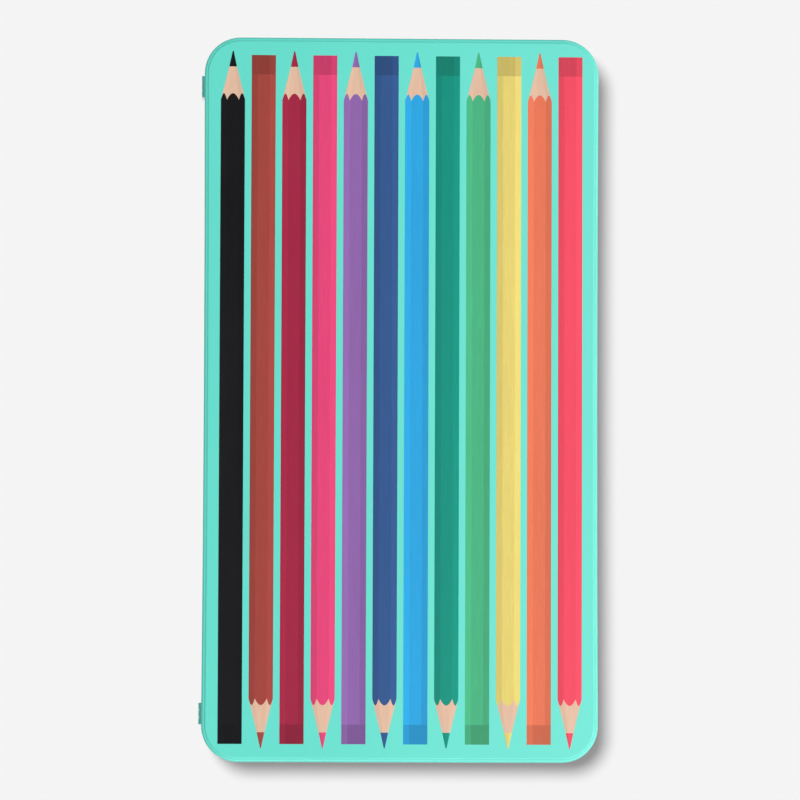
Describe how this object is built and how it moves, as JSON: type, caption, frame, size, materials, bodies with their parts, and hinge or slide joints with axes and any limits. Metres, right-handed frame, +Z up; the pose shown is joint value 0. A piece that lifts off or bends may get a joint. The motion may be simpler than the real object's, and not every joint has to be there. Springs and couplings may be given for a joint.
{
  "type": "hinged pencil tin",
  "caption": "Flat tinplate box with rounded corners and a hinged lid, holding a row of coloured pencils on a moulded tray.",
  "frame": {"origin": "under the middle of the closed tin, on the surface it rests on", "axes": "+Z up through the lid, +Y along the long sides towards the pencil points, hinges on the -X side"},
  "size_m": [0.1022, 0.186, 0.012],
  "materials": {
    "lid_enamel": "gloss",
    "base_enamel": "gloss",
    "hinge_wire": "satin",
    "tray_plastic": "satin",
    "pad_foam": "matte",
    "pencil_wood": "matte",
    "black_core": "matte",
    "black_lacquer": "gloss",
    "navy_core": "matte",
    "navy_lacquer": "gloss",
    "green_core": "matte",
    "green_lacquer": "gloss",
    "pink_core": "matte",
    "pink_lacquer": "gloss",
    "brown_core": "matte",
    "brown_lacquer": "gloss",
    "orange_core": "matte",
    "orange_lacquer": "gloss",
    "yellow_core": "matte",
    "yellow_lacquer": "gloss",
    "maroon_core": "matte",
    "maroon_lacquer": "gloss",
    "sky_core": "matte",
    "sky_lacquer": "gloss",
    "purple_core": "matte",
    "purple_lacquer": "gloss",
    "teal_core": "matte",
    "teal_lacquer": "gloss",
    "red_core": "matte",
    "red_lacquer": "gloss"
  },
  "bodies": {
    "base": {"base_shell": "base_enamel", "rear_hinge_pin": "hinge_wire", "front_hinge_pin": "hinge_wire", "pencil_tray": "tray_plastic", "black_pencil_lead": "black_core", "black_pencil_wood": "pencil_wood", "black_pencil_lacquer": "black_lacquer", "navy_pencil_lead": "navy_core", "navy_pencil_wood": "pencil_wood", "navy_pencil_lacquer": "navy_lacquer", "green_pencil_lead": "green_core", "green_pencil_wood": "pencil_wood", "green_pencil_lacquer": "green_lacquer", "pink_pencil_lead": "pink_core", "pink_pencil_wood": "pencil_wood", "pink_pencil_lacquer": "pink_lacquer", "brown_pencil_lead": "brown_core", "brown_pencil_wood": "pencil_wood", "brown_pencil_lacquer": "brown_lacquer", "orange_pencil_lead": "orange_core", "orange_pencil_wood": "pencil_wood", "orange_pencil_lacquer": "orange_lacquer", "yellow_pencil_lead": "yellow_core", "yellow_pencil_wood": "pencil_wood", "yellow_pencil_lacquer": "yellow_lacquer", "maroon_pencil_lead": "maroon_core", "maroon_pencil_wood": "pencil_wood", "maroon_pencil_lacquer": "maroon_lacquer", "sky_pencil_lead": "sky_core", "sky_pencil_wood": "pencil_wood", "sky_pencil_lacquer": "sky_lacquer", "purple_pencil_lead": "purple_core", "purple_pencil_wood": "pencil_wood", "purple_pencil_lacquer": "purple_lacquer", "teal_pencil_lead": "teal_core", "teal_pencil_wood": "pencil_wood", "teal_pencil_lacquer": "teal_lacquer", "red_pencil_lead": "red_core", "red_pencil_wood": "pencil_wood", "red_pencil_lacquer": "red_lacquer"},
    "lid": {"lid_shell": "lid_enamel", "lid_pad": "pad_foam"}
  },
  "joints": [
    {"name": "lid_hinge", "type": "hinge", "parent": "base", "child": "lid", "pos_m": [-0.0509, 0, 0.0062], "axis": [0, -1, 0], "range_deg": [0, 180]}
  ]
}
